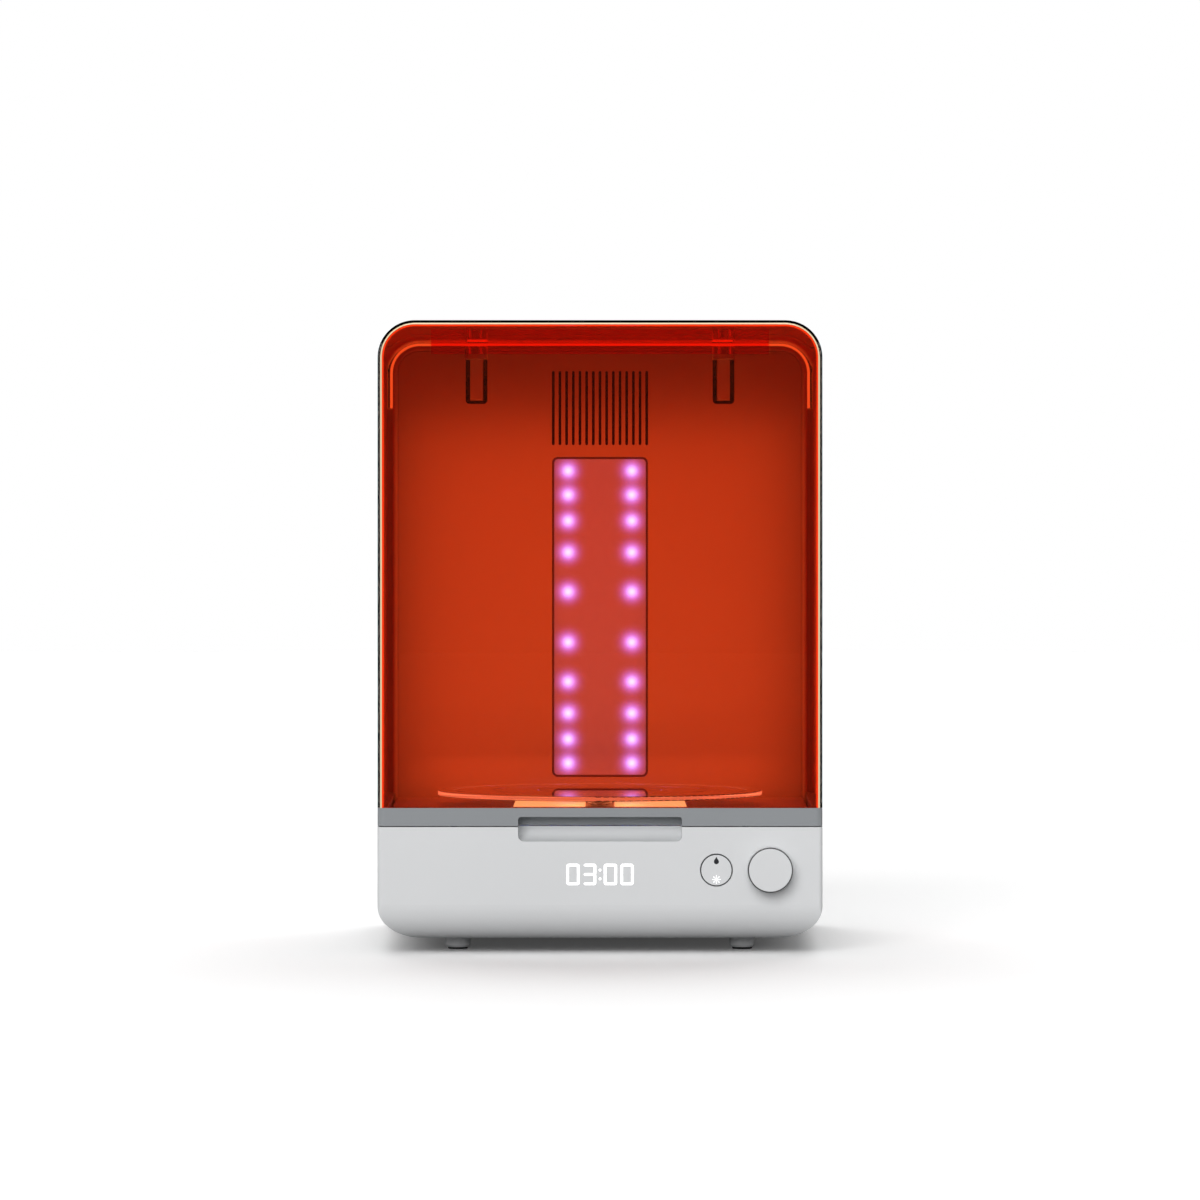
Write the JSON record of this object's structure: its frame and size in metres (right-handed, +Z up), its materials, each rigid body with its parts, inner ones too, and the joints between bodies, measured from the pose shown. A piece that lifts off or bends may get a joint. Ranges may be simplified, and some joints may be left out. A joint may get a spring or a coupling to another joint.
{
  "type": "dental lab light curing unit",
  "caption": "Bench light-curing chamber: rounded base with timer, button and knob, amber see-through hood hinged at the rear, glass turntable, lamp window and vent in the back wall.",
  "frame": {"origin": "middle of the bottom of the bounding box, on the surface that the feet stand on", "axes": "+Z up, the front with timer and knob faces -Y, +X to the right of someone facing the front"},
  "size_m": [0.2756, 0.282, 0.378],
  "materials": {
    "pale_cover": "pale grey moulded plastic with a fine satin grain",
    "rail_grey": "mid grey satin moulded plastic",
    "amber_hood": "polished clear amber-orange acrylic",
    "white_liner": "white satin moulded plastic that scatters the lamps' light",
    "clear_pane": "clear pane with a lightly frosted back",
    "table_glass": "clear float glass with polished edge",
    "lamp_lens": "violet lamp chips with clear domes",
    "circuit_board": "green solder mask with a slight gloss",
    "dark_plastic": "black moulded plastic with a matt grain",
    "rubber": "black soft rubber",
    "steel": "bright zinc plated steel",
    "aluminium": "plain extruded aluminium with fine draw lines"
  },
  "bodies": {
    "base": {"base_shell": "pale_cover", "bottom_plate": "dark_plastic", "feet": "rail_grey", "foot_pads": "rubber", "base_screws": "steel", "chamber_floor": "white_liner", "floor_panes": "clear_pane", "floor_lamp_board": "circuit_board", "floor_lamps": "lamp_lens", "motor_bracket": "steel", "turntable_motor": "steel", "drive_screws": "steel", "hinge_brackets": "steel", "bracket_screws": "steel", "hinge_pins": "steel", "pin_clips": "steel", "rear_housing": "pale_cover", "housing_screws": "steel", "back_wall": "white_liner", "wall_screws": "steel", "window_seal": "rubber", "lamp_window": "clear_pane", "lamp_board": "circuit_board", "back_lamps": "lamp_lens", "heat_sink": "aluminium", "sink_screws": "steel", "air_duct": "dark_plastic", "air_heater": "aluminium", "fan_frame": "dark_plastic", "fan_screws": "steel", "timer_window": "clear_pane", "timer_block": "dark_plastic", "panel_board": "circuit_board", "panel_screws": "steel", "button_switch": "dark_plastic", "encoder_body": "dark_plastic", "encoder_nut": "steel", "control_board": "circuit_board", "power_supply": "steel", "board_screws": "steel", "power_inlet": "dark_plastic", "lid_sensor": "dark_plastic"},
    "hood": {"hood_shell": "amber_hood", "hood_rail": "rail_grey", "rail_bumpers": "rubber", "lid_magnet": "steel", "hinge_bar": "amber_hood", "hinge_arms": "white_liner", "arm_screws": "steel", "arm_bushes": "dark_plastic"},
    "turntable": {"turntable_glass": "table_glass", "turntable_hub": "white_liner", "drive_shaft": "steel"},
    "mode_button": {"button_cap": "pale_cover"},
    "encoder_wheel": {"encoder_rotor": "dark_plastic"},
    "knob": {"knob_cap": "pale_cover", "encoder_shaft": "steel"},
    "fan": {"fan_rotor": "dark_plastic"}
  },
  "joints": [
    {"name": "hood_hinge", "type": "hinge", "parent": "base", "child": "hood", "pos_m": [0, 0.122, 0.346], "axis": [-1, 0, 0], "range_deg": [0, 75]},
    {"name": "turntable_spin", "type": "hinge", "parent": "base", "child": "turntable", "pos_m": [0, -0.014, 0.09], "axis": [0, 0, 1], "continuous": true},
    {"name": "mode_press", "type": "slide", "parent": "base", "child": "mode_button", "axis": [0, 1, 0], "range_m": [0, 0.0005], "stiffness_N_per_m": 600, "springref_m": -0.0005},
    {"name": "knob_turn", "type": "hinge", "parent": "base", "child": "encoder_wheel", "pos_m": [0.1011, -0.117, 0.0509], "axis": [0, 1, 0], "continuous": true},
    {"name": "knob_press", "type": "slide", "parent": "encoder_wheel", "child": "knob", "axis": [0, 1, 0], "range_m": [0, 0.0005], "stiffness_N_per_m": 600, "springref_m": -0.0005},
    {"name": "fan_spin", "type": "hinge", "parent": "base", "child": "fan", "pos_m": [0, 0.118, 0.3326], "axis": [0, 1, 0], "continuous": true}
  ]
}
